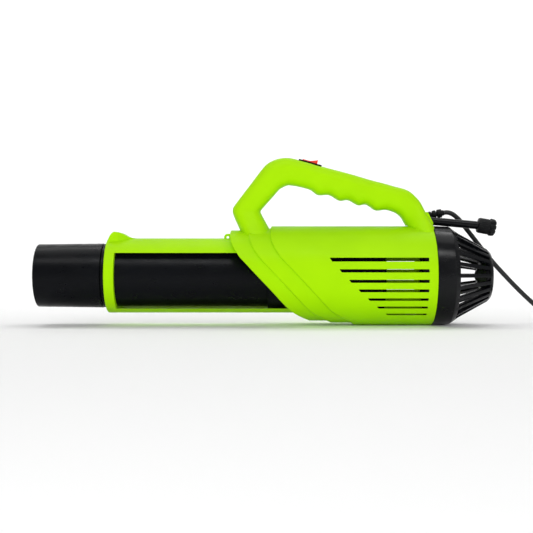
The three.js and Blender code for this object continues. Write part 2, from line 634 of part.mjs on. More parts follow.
const TIE = { half: 4, thickness: 0.6, inner: COIL_INNER - 0.8, outer: COIL_OUTER + GAP };
const tie = box(
  coilX - TIE.half, coilX + TIE.half, coilY - TIE.outer - TIE.thickness, coilY - TIE.inner + TIE.thickness,
  0, coilTop + GAP + TIE.thickness,
).subtract(box(
  coilX - 10, coilX + 10, coilY - TIE.outer, coilY - TIE.inner, TIE.thickness, coilTop + GAP,
));
add('cord_tie', tie, 'matteBlack', lead);

// The plug lies along -Y beyond the end of the lead.
const plugBody = latheGeometry([
  [0, 0], [0, 3.2], [9, 3.8], [10, 5.3], [30, 5.3], [31.5, 4.6], [31.5, 0],
], 20).rotateZ(-Math.PI / 2).translate(...PLUG_AT);
add('plug_body', plugBody, 'matteBlack', lead);
const plugTip = latheGeometry([
  [31.5 + GAP, 0], [31.5 + GAP, 2.75], [41.3, 2.75], [41.3, 1.1], [36, 1.1], [36, 0],
], 18).rotateZ(-Math.PI / 2).translate(...PLUG_AT);
add('plug_tip', plugTip, 'steel', lead);

export default blower;
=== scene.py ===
"""A hand-held electric air blower with a liquid feed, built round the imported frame. Metres, +Z up."""

import json
import math

import bmesh
import bpy
import numpy as np
from mathutils import Matrix, Vector


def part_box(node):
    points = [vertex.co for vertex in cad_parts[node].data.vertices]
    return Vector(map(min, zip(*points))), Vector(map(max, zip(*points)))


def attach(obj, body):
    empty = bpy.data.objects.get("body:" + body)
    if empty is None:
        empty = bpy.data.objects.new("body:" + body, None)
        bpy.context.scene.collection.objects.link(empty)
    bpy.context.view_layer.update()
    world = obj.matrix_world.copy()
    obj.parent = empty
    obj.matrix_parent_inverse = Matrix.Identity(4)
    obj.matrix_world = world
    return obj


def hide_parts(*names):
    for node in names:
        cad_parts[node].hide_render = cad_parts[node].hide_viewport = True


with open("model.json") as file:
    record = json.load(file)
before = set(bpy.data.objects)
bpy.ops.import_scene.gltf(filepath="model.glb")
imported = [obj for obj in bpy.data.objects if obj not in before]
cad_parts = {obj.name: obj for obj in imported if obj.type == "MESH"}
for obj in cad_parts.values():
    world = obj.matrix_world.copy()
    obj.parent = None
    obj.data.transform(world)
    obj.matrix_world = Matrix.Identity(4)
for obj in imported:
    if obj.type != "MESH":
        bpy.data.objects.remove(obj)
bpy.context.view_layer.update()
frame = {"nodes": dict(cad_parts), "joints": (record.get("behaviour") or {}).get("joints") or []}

MM = 0.001

# ---------------------------------------------------------------- places taken from the frame

DUCT_LOW, DUCT_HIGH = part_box("duct_tube")
AXIS_Z = (DUCT_LOW.z + DUCT_HIGH.z) / 2
JOINTS = {joint["name"]: joint for joint in frame["joints"]}

# Millimetres along the duct's axis, X.
DUCT_FRONT, DUCT_END = DUCT_LOW.x / MM, DUCT_HIGH.x / MM
NOZZLE_LIP, NOZZLE_REAR = (corner.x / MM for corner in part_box("nozzle_sleeve"))
FRAME_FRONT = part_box("frame_left")[0].x / MM
BODY_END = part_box("body_left")[1].x / MM
CASING_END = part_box("fan_casing")[1].x / MM

# ---------------------------------------------------------------- camera

CAMERA_DISTANCE = 1.2  # from the duct's axis
CAMERA_X = -0.0015
CAMERA_RISE = 0.011  # above the duct's axis
LENS_MM, SENSOR_MM = 65.9, 36


def make_camera():
    """A level camera that looks along +Y."""
    data = bpy.data.cameras.new("camera")
    data.lens = LENS_MM
    data.sensor_width = SENSOR_MM
    camera = bpy.data.objects.new("camera", data)
    camera.location = (CAMERA_X, -CAMERA_DISTANCE, AXIS_Z + CAMERA_RISE)
    camera.rotation_euler = (math.radians(90), 0, 0)
    bpy.context.collection.objects.link(camera)
    bpy.context.scene.camera = camera


make_camera()

# ---------------------------------------------------------------- node materials

MIX_FACTOR, MIX_FIRST, MIX_SECOND, MIX_RESULT = 0, 6, 7, 2  # a Mix node's sockets for colours
BARE_EDGE, WORN_EDGE = 0.56, 0.72  # pointiness where wear starts and where it is full


class Nodes:
    """Adds nodes to a new material and links them in order."""

    def __init__(self, name):
        self.material = bpy.data.materials.new(name)
        self.material.use_nodes = True
        self.tree = self.material.node_tree
        self.shader = self.tree.nodes["Principled BSDF"]
        self.where = self.tree.nodes.new("ShaderNodeTexCoord").outputs["Object"]

    def node(self, kind, **values):
        made = self.tree.nodes.new(kind)
        for key, value in values.items():
            setattr(made, key, value)
        return made

    def link(self, source, target):
        self.tree.links.new(source, target)

    def noise(self, scale, detail=3.0, stretch=(1, 1, 1), roughness=0.55):
        """Noise with about scale features to the metre."""
        mapping = self.node("ShaderNodeMapping")
        mapping.inputs["Scale"].default_value = stretch
        self.link(self.where, mapping.inputs["Vector"])
        noise = self.node("ShaderNodeTexNoise")
        noise.inputs["Scale"].default_value = scale
        noise.inputs["Detail"].default_value = detail
        noise.inputs["Roughness"].default_value = roughness
        self.link(mapping.outputs["Vector"], noise.inputs["Vector"])
        return noise.outputs["Fac"]

    def ramp(self, source, low, high, start=0.0, end=1.0):
        """Maps the stretch start to end of a value onto low to high."""
        made = self.node("ShaderNodeMapRange")
        made.inputs["From Min"].default_value = start
        made.inputs["From Max"].default_value = end
        made.inputs["To Min"].default_value = low
        made.inputs["To Max"].default_value = high
        self.link(source, made.inputs["Value"])
        return made.outputs["Result"]

    def blend(self, factor, first, second):
        """A colour from first to second, each a colour or a socket."""
        mix = self.node("ShaderNodeMix", data_type="RGBA")
        self.link(factor, mix.inputs[MIX_FACTOR])
        for value, place in ((first, MIX_FIRST), (second, MIX_SECOND)):
            if isinstance(value, tuple):
                mix.inputs[place].default_value = (*value, 1)
            else:
                self.link(value, mix.inputs[place])
        return mix.outputs[MIX_RESULT]

    def bump(self, heights):
        """Bumps one after another, each a height socket, a strength and a distance."""
        normal = None
        for height, strength, distance in heights:
            made = self.node("ShaderNodeBump")
            made.inputs["Strength"].default_value = strength
            made.inputs["Distance"].default_value = distance
            self.link(height, made.inputs["Height"])
            if normal is not None:
                self.link(normal, made.inputs["Normal"])
            normal = made.outputs["Normal"]
        self.link(normal, self.shader.inputs["Normal"])

    def wear(self):
        """From 0 on flats to 1 on exposed edges, broken up by noise."""
        point = self.node("ShaderNodeNewGeometry").outputs["Pointiness"]
        edge = self.ramp(point, 0, 1, BARE_EDGE, WORN_EDGE)
        product = self.node("ShaderNodeMath", operation="MULTIPLY")
        self.link(edge, product.inputs[0])
        self.link(self.ramp(self.noise(180, 4), 0, 1, 0.42, 0.62), product.inputs[1])
        return product.outputs[0]


def shade(color):
    """An 8-bit screen colour as a linear one."""
    return tuple(((c / 255 + 0.055) / 1.055) ** 2.4 if c > 10 else c / 255 / 12.92 for c in color)


def moulded_plastic(name, color, dark, pale, roughness, peel=0.10, specular=0.3, wear=0.35):
    """Moulded plastic: faint orange peel, fine grain, soft colour drift, handling marks and worn edges."""
    n = Nodes(name)
    drift = n.blend(n.ramp(n.noise(14, 2), 0, 1, 0.35, 0.65), dark, color)
    speck = n.blend(n.ramp(n.noise(2600, 2), 0, 0.12, 0.55, 0.8), drift, pale)
    worn = n.node("ShaderNodeMath", operation="MULTIPLY")
    n.link(n.wear(), worn.inputs[0])
    worn.inputs[1].default_value = wear
    n.link(n.blend(worn.outputs[0], speck, pale), n.shader.inputs["Base Color"])
    smears = n.ramp(n.noise(55, 5, (1, 1, 2.4)), roughness - 0.05, roughness + 0.1, 0.3, 0.72)
    n.link(smears, n.shader.inputs["Roughness"])
    n.shader.inputs["Specular IOR Level"].default_value = specular
    n.bump([
        (n.noise(420, 2), peel, 0.0004),
        (n.noise(2400, 2), peel * 0.8, 0.0001),
        (n.noise(90, 6, (9, 1, 1)), 0.02, 0.0003),
    ])
    return n.material


def rubber_material(name, color, pale, grain):
    """Soft PVC or rubber: matt, with a fine grain and a little dust."""
    n = Nodes(name)
    dust = n.ramp(n.noise(70, 6), 0, 0.55, 0.45, 0.8)
    n.link(n.blend(dust, color, pale), n.shader.inputs["Base Color"])
    n.link(n.ramp(n.noise(240, 4), 0.38, 0.6, 0.3, 0.7), n.shader.inputs["Roughness"])
    n.bump([(n.noise(grain, 3), 0.16, 0.0002)])
    return n.material


def metal_material(name, color, tarnish, roughness, streak):
    """Plated or turned metal with fine tool marks."""
    n = Nodes(name)
    patches = n.ramp(n.noise(260, 4), 0, 0.7, 0.4, 0.75)
    n.link(n.blend(patches, color, tarnish), n.shader.inputs["Base Color"])
    n.shader.inputs["Metallic"].default_value = 1.0
    brushed = n.ramp(n.noise(900, 3, streak), roughness - 0.08, roughness + 0.14, 0.3, 0.7)
    n.link(brushed, n.shader.inputs["Roughness"])
    n.bump([(n.noise(1500, 2, streak), 0.08, 0.0001)])
    return n.material


GREEN = moulded_plastic(
    "green_plastic", shade((166, 225, 0)), shade((161, 220, 0)), shade((188, 230, 55)), 0.42,
    specular=0.06, wear=0.2)
BLACK = moulded_plastic(
    "black_plastic", shade((8, 10, 14)), shade((6, 7, 10)), shade((40, 43, 50)), 0.3,
    peel=0.07, specular=0.1, wear=0.2)
GLOSS = moulded_plastic(
    "gloss_black_plastic", shade((7, 8, 11)), shade((5, 6, 9)), shade((50, 52, 58)), 0.2,
    peel=0.04, specular=0.2, wear=0.3)
MATTE = moulded_plastic(
    "matte_black_plastic", shade((12, 13, 15)), shade((9, 10, 12)), shade((50, 51, 54)), 0.42,
    peel=0.14, specular=0.16, wear=0.25)
RED = moulded_plastic(
    "red_plastic", shade((240, 66, 34)), shade((228, 54, 26)), shade((250, 120, 92)), 0.3,
    peel=0.05, wear=0.3)
TUBE = moulded_plastic(
    "white_tube", shade((214, 218, 216)), shade((204, 208, 204)), shade((232, 234, 232)), 0.42)
CORD = rubber_material("cord_pvc", shade((14, 14, 16)), shade((34, 34, 36)), 1400)
SEAL = rubber_material("seal_rubber", shade((15, 15, 16)), shade((32, 32, 34)), 2200)
STEEL = metal_material("plated_steel", (0.56, 0.57, 0.6), (0.4, 0.4, 0.43), 0.3, (1, 6, 1))
CAN_STEEL = metal_material("motor_can_steel", (0.5, 0.51, 0.54), (0.34, 0.35, 0.38), 0.34, (10, 1, 1))
BRASS = metal_material("turned_brass", (0.72, 0.53, 0.24), (0.5, 0.36, 0.16), 0.28, (8, 1, 1))

# ---------------------------------------------------------------- mesh tools, in mm about the duct's axis

CURVE_STEPS = 24  # between two points of a smooth path
PARALLEL = 1.55  # half a corner's angle, in radians, from which it counts as straight


def rounded(points, radius, steps):
    """A closed outline with its corners turned into arcs of a radius, or of one radius for each corner."""
    points = [np.array(p, float) for p in points]
    radii = radius if isinstance(radius, (list, tuple)) else [radius] * len(points)
    outline = []
    for i, corner in enumerate(points):
        before, after = points[i - 1] - corner, points[(i + 1) % len(points)] - corner
        reach = min(np.linalg.norm(before), np.linalg.norm(after)) * 0.49
        u, v = before / np.linalg.norm(before), after / np.linalg.norm(after)
        half = math.acos(max(-1.0, min(1.0, float(u @ v)))) / 2
        cut = min(radii[i] / math.tan(half), reach) if half < PARALLEL else 0.0
        if cut < 1e-6:
            outline.append(corner)
            continue
        r = cut * math.tan(half)
        centre = corner + (u + v) / np.linalg.norm(u + v) * math.hypot(cut, r)
        a, b = corner + u * cut - centre, corner + v * cut - centre
        turn = math.atan2(a[0] * b[1] - a[1] * b[0], float(a @ b))
        for k in range(steps + 1):
            t = turn * k / steps
            c, s = math.cos(t), math.sin(t)
            outline.append(centre + np.array([a[0] * c - a[1] * s, a[0] * s + a[1] * c]))
    return np.array(outline)


def new_mesh(name, verts, faces):
    """An object from points in millimetres, clean and with its faces turned outwards."""
    mesh = bpy.data.meshes.new(name)
    mesh.from_pydata([tuple(v) for v in np.asarray(verts, float) * MM], [], [tuple(f) for f in faces])
    bm = bmesh.new()
    bm.from_mesh(mesh)
    bmesh.ops.remove_doubles(bm, verts=bm.verts, dist=1e-7)
    bmesh.ops.dissolve_degenerate(bm, edges=bm.edges, dist=1e-7)
    bmesh.ops.recalc_face_normals(bm, faces=bm.faces)
    bm.to_mesh(mesh)
    bm.free()
    made = bpy.data.objects.new(name, mesh)
    bpy.context.collection.objects.link(made)
    return made


def loft(name, rings, closed=False):
    """A skin over rings of points, each ring closed. Open lofts get a face at each end."""
    rings = np.asarray(rings, float)
    count, around, _ = rings.shape
    faces = []
    for i in range(count if closed else count - 1):
        a, b = i * around, ((i + 1) % count) * around
        for j in range(around):
            k = (j + 1) % around
            faces.append((a + j, a + k, b + k, b + j))
    if not closed:
        faces.append(tuple(range(around))[::-1])
        faces.append(tuple(range((count - 1) * around, count * around)))
    return new_mesh(name, rings.reshape(-1, 3), faces)


def revolve(name, profile, segments):
    """A closed outline of (x, radius) turned about the X axis."""
    profile = np.asarray(profile, float)
    rings = []
    for turn in np.linspace(0, 2 * math.pi, segments, endpoint=False):
        x, r = profile[:, 0], profile[:, 1]
        rings.append(np.stack([x, r * math.sin(turn), r * math.cos(turn)], 1))
    return loft(name, rings, closed=True)


def turned(name, points, radius, segments=64, steps=4):
    """A solid of revolution about X whose outline starts and ends on the axis."""
    radii = [0 if p[1] == 0 else radius for p in points]
    return revolve(name, rounded(points, radii, steps), segments)


def prism(name, outline, y0, y1):
    """A side-view outline of (x, z) between two places along Y."""
    rings = [[(x, y, z) for x, z in outline] for y in (y0, y1)]
    return loft(name, rings)


def block(name, x0, x1, y0, y1, z0, z1):
    """A box between two places along each axis."""
    return prism(name, [(x0, z0), (x1, z0), (x1, z1), (x0, z1)], y0, y1)


def pin_y(name, x, z, radius, y0, y1, segments=48):
    """A round bar along Y."""
    turns = np.linspace(0, 2 * math.pi, segments, endpoint=False)
    return prism(name, [(x + radius * math.cos(t), z + radius * math.sin(t)) for t in turns], y0, y1)


def extended(points):
    """The points with one more before the first and after the last, in line with them."""
    return np.vstack([2 * points[0] - points[1], points, 2 * points[-1] - points[-2]])


def between(p0, p1, p2, p3, t):
    """A place on the smooth curve from p1 to p2, with t from 0 to 1."""
    return 0.5 * (2 * p1 + (p2 - p0) * t + (2 * p0 - 5 * p1 + 4 * p2 - p3) * t ** 2
                  + (3 * p1 - p0 - 3 * p2 + p3) * t ** 3)


def smooth_path(points, steps):
    """Evenly spaced points along a smooth curve through the given ones."""
    points = np.asarray(points, float)
    padded = extended(points)
    dense = []
    for i in range(len(points) - 1):
        for t in np.linspace(0, 1, CURVE_STEPS, endpoint=False):
            dense.append(between(*padded[i:i + 4], t))
    dense = np.vstack([dense, points[-1]])
    along = np.concatenate([[0], np.cumsum(np.linalg.norm(np.diff(dense, axis=0), axis=1))])
    want = np.linspace(0, along[-1], steps)
    return np.stack([np.interp(want, along, dense[:, k]) for k in range(dense.shape[1])], 1)


def moved(obj, matrix):
    """The object's mesh turned and shifted. The shift is in millimetres."""
    matrix = matrix.copy()
    matrix.translation *= MM
    obj.data.transform(matrix)
    return obj


def apply_modifiers(obj):
    """The object with its modifiers turned into mesh."""
    depsgraph = bpy.context.evaluated_depsgraph_get()
    mesh = bpy.data.meshes.new_from_object(obj.evaluated_get(depsgraph), depsgraph=depsgraph)
    obj.modifiers.clear()
    obj.data = mesh
    return obj


def boolean(obj, tools, operation="DIFFERENCE"):
    """Joins or cuts with each tool in turn, and deletes the tools."""
    for tool in tools:
        modifier = obj.modifiers.new("boolean", "BOOLEAN")
        modifier.operation = operation
        modifier.solver = "MANIFOLD"
        modifier.object = tool
        apply_modifiers(obj)
        bpy.data.objects.remove(tool)
    return obj


def bevel(obj, width, segments, angle=35):
    """Rounds the edges that turn by more than an angle."""
    modifier = obj.modifiers.new("bevel", "BEVEL")
    modifier.width = width * MM
    modifier.segments = segments
    modifier.limit_method = "ANGLE"
    modifier.angle_limit = math.radians(angle)
    return apply_modifiers(obj)


def finish_piece(obj, name, material, body, nodes, angle=32, about_axis=True):
    """Names, places and shades a piece, and says which body it rides on and which nodes it stands for."""
    if about_axis:
        obj.data.transform(Matrix.Translation((0, 0, AXIS_Z)))
    obj.name = name
    obj.data.name = name
    obj.data.materials.clear()
    obj.data.materials.append(material)
    obj.data.shade_smooth()
    obj.data.set_sharp_from_angle(angle=math.radians(angle))
    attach(obj, body)
    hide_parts(*nodes)
    return obj


# ---------------------------------------------------------------- supply lead

CORD_RADIUS = 2.9
COIL_CENTRE = (390, 2.25)
COIL_FLOOR = 0.9 + CORD_RADIUS  # the tie passes under the lower turns
COIL_STEPS = 24  # to a turn
CORD_STEPS = 420

# The lead from its gland to the ground, onto the coil and from the coil to the plug, z above the ground.
CORD_ROUTE = [
    (217.9, 7, 138.4), (222.4, 7.2, 138.8), (228.2, 8, 137), (233.6, 9, 133.2),
    (238.2, 10.3, 129), (245.9, 13, 119.9), (253.4, 16, 111.3), (260.3, 19, 103.2),
    (267.2, 22, 95.2), (275.4, 25, 86), (284, 27, 76.3), (292.4, 28.8, 67.4),
    (305.5, 31.4, 54), (318.4, 33.4, 41.3), (327.5, 34.8, 32.9), (337, 35.8, 24.5),
    (346.5, 36.8, 16.6), (355, 37.4, 10.6), (362, 37.8, 6.6), (367, 37.9, 4.5),
]
ONTO_COIL = [(374, 37.9, 3.95), (382, 37.85, 3.8), (390, 37.8, 3.8)]
TAIL_ROUTE = [(427, -22, 8), (427.6, -28, 7), (429, -34, 5.8), (429.9, -38.5, 5.35), (430, -41, 5.3)]


def coil_route():
    """Two layers of turns: inwards on the floor, up a step, and outwards on top."""
    lower, climb, upper = 2.25, 0.5, 2.5
    inner_r, growth = 22.5, 2 * CORD_RADIUS
    total = lower + climb + upper
    points = []
    count = round(total * COIL_STEPS)
    for i in range(1, count + 1):
        turns = total * i / count
        risen = min(1.0, max(0.0, (turns - lower) / climb))
        if turns < lower:
            r = inner_r + growth * (lower - turns)
        else:
            r = inner_r + growth * max(0.0, turns - lower - climb)
        z = COIL_FLOOR + 2 * CORD_RADIUS * (3 * risen ** 2 - 2 * risen ** 3)
        angle = math.pi / 2 - 2 * math.pi * turns
        points.append((COIL_CENTRE[0] + r * math.cos(angle), COIL_CENTRE[1] + r * math.sin(angle), z))
    return points


def path_length(points):
    """The length of a line through the points."""
    return float(np.linalg.norm(np.diff(np.asarray(points), axis=0), axis=1).sum())


def make_cord():
    """The whole lead as one curve with a round section, from gland to plug."""
    points = smooth_path(CORD_ROUTE + ONTO_COIL + coil_route() + TAIL_ROUTE, CORD_STEPS) * MM
    data = bpy.data.curves.new("supply_cord", "CURVE")
    data.dimensions = "3D"
    spline = data.splines.new("POLY")
    spline.points.add(len(points) - 1)
    for point, place in zip(spline.points, points):
        point.co = (*place, 1)
    data.bevel_depth = CORD_RADIUS * MM
    data.bevel_resolution = 5
    data.use_fill_caps = True
    cord = bpy.data.objects.new("supply_cord", data)
    bpy.context.collection.objects.link(cord)
    data.materials.append(CORD)
    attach(cord, "housing")
    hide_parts("cord_run", "cord_coil", "cord_tail")
    return cord, path_length(points)


supply_cord, CORD_LENGTH = make_cord()

PLUG_AT = (430, -41.5, 5.3)
ALONG_MINUS_Y = Matrix.Translation(PLUG_AT) @ Matrix.Rotation(-math.pi / 2, 4, "Z")


def make_plug():
    """A moulded low-voltage plug: ribbed strain relief, gripping body and a plated barrel."""
    ribs, grip_notches = 5, 6
    notch_y = 4.85
    outline = [(0, 0), (0, 3.0)]
    for i in range(ribs):
        x = 1 + 1.8 * i
        root, crest = 3.1 + 0.12 * i, 3.6 + 0.12 * i
        outline += [(x, root), (x + 0.4, crest), (x + 1.2, crest), (x + 1.5, root)]
    outline += [(10.2, 4.0), (11.4, 5.2), (29.8, 5.2), (31.5, 4.4), (31.5, 0)]
    body = turned("plug", outline, 0.25, 64, 2)
    grips = [
        block("grip", 14 + 2.4 * i, 15 + 2.4 * i, side * notch_y - 0.6, side * notch_y + 0.6, -3, 3)
        for i in range(grip_notches) for side in (-1, 1)
    ]
    moved(boolean(body, grips), ALONG_MINUS_Y)
    plug = finish_piece(body, "plug", MATTE, "housing", ["plug_body"], about_axis=False)
    barrel_outline = [(31.8, 0), (31.8, 2.75), (41.3, 2.75), (41.3, 1.15), (36, 1.15), (36, 0)]
    barrel = turned("barrel", barrel_outline, 0.2, 48, 3)
    moved(barrel, ALONG_MINUS_Y)
    return plug, finish_piece(barrel, "plug_barrel", STEEL, "housing", ["plug_tip"], about_axis=False)


def make_tie():
    """A hook-and-loop strap round the coil, with its end lapped over."""
    strap_thickness = 0.6
    low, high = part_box("cord_tie")
    x0, x1 = low.x / MM, high.x / MM
    y0, y1 = low.y / MM, high.y / MM
    top = high.z / MM
    outer = rounded([(y0, 0), (y1, 0), (y1, top), (y0, top)], 2.2, 6)
    in0, in1, in_top = y0 + strap_thickness, y1 - strap_thickness, top - strap_thickness
    inner = rounded([(in0, strap_thickness), (in1, strap_thickness), (in1, in_top), (in0, in_top)], 1.7, 6)
    strap = loft("tie", [[(x, y, z) for y, z in outer] for x in (x0, x1)])
    boolean(strap, [loft("hole", [[(x, y, z) for y, z in inner] for x in (x0 - 5, x1 + 5)])])
    lap_corners = [(y0 + 3, top - 0.4), (y1 - 6, top - 0.4), (y1 - 6.4, top + 0.35), (y0 + 3.5, top + 0.4)]
    lap = rounded(lap_corners, 0.3, 3)
    boolean(strap, [loft("lap", [[(x, y, z) for y, z in lap] for x in (x0 + 0.3, x1 - 0.3)])], "UNION")
    bevel(strap, 0.12, 2)
    return finish_piece(strap, "coil_tie", MATTE, "housing", ["cord_tie"], about_axis=False)


plug, plug_barrel = make_plug()
coil_tie = make_tie()

# ---------------------------------------------------------------- green housing

SEAM = 0.15  # half the gap on the parting line
BANDS = ((55.4, 0.0), (57.9, 23.0), (60.5, 48.5))  # radius, and how far back each band of the body starts
WALL = 2.5
LIP_INNER = 42.6
FRAME_RADIUS = 45.6
FRAME_WALL = 3.0
RING_BORE = 37.9
WINDOW_FRONT = -183.2
WINDOW_TOP = 27.2
WINDOW_BOTTOM = {"left": -39.9, "right": -37.8}
HALF_TURN = (-math.pi / 2, math.pi / 2)  # one side, from the bottom to the top
EYELET_AT = (-49, 46.7)  # x and z of the small lug on the body's front edge
EYELET_RADIUS = 4.6

LIP_EDGE = [(-43, 66), (-45.3, 46), (-36.5, 26.6), (-23.2, 11.3), (1.5, -15), (26.8, -41.6), (48.3, -54.2),
            (53.5, -57.5), (58, -62), (62, -68)]
LIP_CURVE = smooth_path(LIP_EDGE, 200)[::-1]

# Air slots along Y: the left one's height, opening and start, then the right one's height and opening.
AIR_SLOTS = [
    (19.1, 4.6, 73.9, 16.8, 2.0), (5.9, 3.8, 85.1, 8.3, 2.2), (-6.3, 3.6, 96.3, -5.2, 2.2),
    (-17.5, 3.4, 107.5, -17.5, 2.4), (-27.9, 3.0, 118.7, -27.9, 2.4), (-37.5, 2.5, 129.9, -37.5, 2.2),
    (-46, 2.0, 141.1, -46, 2.0),
]
SLOT_END = 189.3
SLOT_LEAN = 1.5  # how far the front corners move off the slot's start


def lip_x(z):
    """Where the body's front edge is at a height."""
    return float(np.interp(z, LIP_CURVE[:, 1], LIP_CURVE[:, 0]))


def body_section(angle):
    """The body wall's closed outline of (x, radius) at an angle above the horizontal."""
    s = math.sin(angle)

    def edge(r, shift):
        """Where a radius meets the front edge, which lies further back by a shift."""
        return lip_x(r * s) + shift

    radius = BANDS[0][0]
    points = [(edge(r, 0), r) for r in (LIP_INNER, 45.5, 48.5, 51.5, radius - 1)]
    rim = edge(radius, 0)
    points += [(rim + 0.15, radius - 0.35), (rim + 0.55, radius - 0.07), (rim + 1.2, radius)]
    for next_radius, shift in BANDS[1:]:
        step_x = edge(radius, shift)
        points += [(step_x - 3, radius), (step_x - 0.5, radius), (step_x - 0.1, radius + 0.25)]
        points += [(edge(next_radius - 0.9, shift), next_radius - 0.9)]
        rim = edge(next_radius, shift)
        points += [
            (rim + 0.2, next_radius - 0.35), (rim + 0.6, next_radius - 0.08), (rim + 1.3, next_radius),
        ]
        radius = next_radius
    points += [(x, radius) for x in (115, 150, BODY_END - 1)]
    points += [(BODY_END - 0.3, radius - 0.1), (BODY_END, radius - 0.5), (BODY_END, radius - WALL)]
    points += [(x, radius - WALL) for x in (160, 118)]
    for inner_radius, shift in BANDS[::-1]:
        rim = edge(inner_radius - WALL, shift) + WALL
        points += [(rim + 0.2, inner_radius - WALL), (rim, inner_radius - WALL - 1)]
    points += [(edge(r, 0) + WALL, r) for r in (48.5, 45.5, LIP_INNER)]
    return points


def half_rings(section, first, last, count):
    """Rings of one side's wall between two angles, on the -Y side."""
    rings = []
    for angle in np.linspace(first, last, count):
        ring = [(x, min(-r * math.cos(angle), -SEAM), r * math.sin(angle)) for x, r in section(angle)]
        rings.append(ring)
    return rings


def slot_cutter(z, opening, start):
    """A slot through the body's wall whose front end leans back towards the bottom."""
    half = opening / 2
    outline = [
        (start - SLOT_LEAN, z + half), (SLOT_END, z + half),
        (SLOT_END, z - half), (start + SLOT_LEAN, z - half),
    ]
    return prism("slot", rounded(outline, 0.45, 3), -70, -10)


def frame_piece(side):
    """Front ring and the two rails of one side, above and below the window."""
    inner = FRAME_RADIUS - FRAME_WALL
    ring_profile = rounded([
        (FRAME_FRONT, FRAME_RADIUS), (WINDOW_FRONT, FRAME_RADIUS), (WINDOW_FRONT, RING_BORE),
        (FRAME_FRONT, RING_BORE),
    ], [1.6, 0.6, 0.5, 0.8], 5)

    def ring_section(_):
        """The same outline at every angle."""
        return ring_profile

    def shell_section(angle):
        """The thin shell behind the ring, up to the body's front edge."""
        s = math.sin(angle)
        outer_end, inner_end = lip_x(FRAME_RADIUS * s) + 1.2, lip_x(inner * s) + 1.2
        start = WINDOW_FRONT - 4
        return [(start, FRAME_RADIUS), (outer_end, FRAME_RADIUS), (inner_end, inner), (start, inner)]

    ring = loft("ring", half_rings(ring_section, *HALF_TURN, 121))
    rails = loft("rails", half_rings(shell_section, *HALF_TURN, 161))
    boolean(rails, [block("window", -240, 70, -80, 10, WINDOW_BOTTOM[side], WINDOW_TOP)])
    bevel(rails, 0.4, 2, 50)
    return boolean(ring, [rails], "UNION")


def hump():
    """The screw boss on top of the front ring, narrower towards its rear end."""
    outline = [
        (FRAME_FRONT, 39), (-191.2, 48.6), (-188.7, 51.7), (-186.2, 53.2), (-181.4, 52.8),
        (-176.6, 50.9), (-171.7, 48), (-166.9, 46.2), (-158, 44.9), (-158, 39),
    ]
    shape = prism("hump", rounded(outline, [0.5, 3, 2.5, 2.5, 3, 5, 5, 5, 0.5, 0.5], 5), -26, -SEAM)
    plan = [(-204, -20), (-187, -20), (-181, -18.5), (-158, -4), (-158, 0), (-204, 0)]
    rings = [[(x, y, z) for x, y in rounded(plan, [0.5, 8, 8, 1, 0.5, 0.5], 5)] for z in (30, 60)]
    boolean(shape, [loft("wedge", rings)], "INTERSECT")
    bevel(shape, 1.6, 4, 50)
    hollow = revolve("hollow", [(-170, 36), (-150, 36), (-150, 43), (-204, 43), (-204, 36)], 96)
    return boolean(shape, [hollow])


def eyelet():
    """The lug with a small hole on the body's front edge, without its hole."""
    x, z = EYELET_AT
    outline = [
        (x + EYELET_RADIUS * math.cos(t), z + EYELET_RADIUS * math.sin(t))
        for t in np.linspace(math.pi / 2, 1.5 * math.pi, 24)
    ]
    outline += [(x + 6.5, z - EYELET_RADIUS), (x + 6.5, z + EYELET_RADIUS)]
    lug = prism("eyelet", outline, -3, -SEAM)
    return bevel(lug, 0.5, 3, 50)


# Handle stations, front foot to rear foot: outer x, outer z, inner x, inner z, half width.
HANDLE_STATIONS = [
    (-19, 26, 20, 26, 33), (-26, 38, 13, 38, 32.5), (-30.4, 47.6, 6.5, 49, 30), (-36.5, 61, 0, 61.2, 22.5),
    (-42, 74, -7.4, 74.8, 17.5), (-42.9, 80.6, -8.6, 78.8, 16), (-39.7, 87.3, -6, 82.6, 15.5),
    (-23, 109.3, 3.4, 93.2, 15.5), (-7, 130.4, 11, 101.8, 15.5), (0.9, 138.1, 14.4, 105.6, 15.5),
    (10.2, 142.4, 18, 108, 15.5), (18.8, 144.2, 22, 109.8, 15.5), (27.4, 144.1, 27, 110.8, 15.5),
    (38, 141.7, 38, 109.1, 15.5), (52, 138, 51.8, 105.3, 15.5), (60, 135.6, 61.9, 98.8, 15.5),
    (74, 131.8, 75.4, 98.7, 15.5), (84, 129.2, 87.7, 92, 15.5), (96, 126, 98.8, 92.3, 15.5),
    (107, 122.9, 111.1, 86.3, 15.5), (119, 119.3, 120.9, 87, 15.5), (130, 116.2, 132.6, 80, 15.5),
    (143, 112.9, 145.5, 80.6, 15.5), (155, 109.4, 156, 77.4, 15.5), (166, 106.6, 162, 73.2, 15.5),
    (174.5, 102.7, 165, 69.4, 15.5), (182, 96, 167.5, 65, 16), (187.5, 88.8, 170.2, 60.6, 18),
    (194.4, 75.2, 174, 54, 23), (202, 61, 178, 46, 30), (209, 48, 183, 36, 33),
]
HANDLE_ROUNDNESS = 2.6  # 2 makes an ellipse, more comes nearer to a box
HANDLE_WALL = 2.8


def spline_rows(rows, steps):
    """Rows of numbers interpolated smoothly, evenly in row number."""
    rows = np.asarray(rows, float)
    padded = extended(rows)
    made = []
    for place in np.linspace(0, len(rows) - 1, steps):
        i = min(int(place), len(rows) - 2)
        made.append(between(*padded[i:i + 4], place - i))
    return np.array(made)


def squircle(v):
    """A cosine or sine turned into a superellipse's coordinate."""
    return math.copysign(abs(v) ** (2 / HANDLE_ROUNDNESS), v)


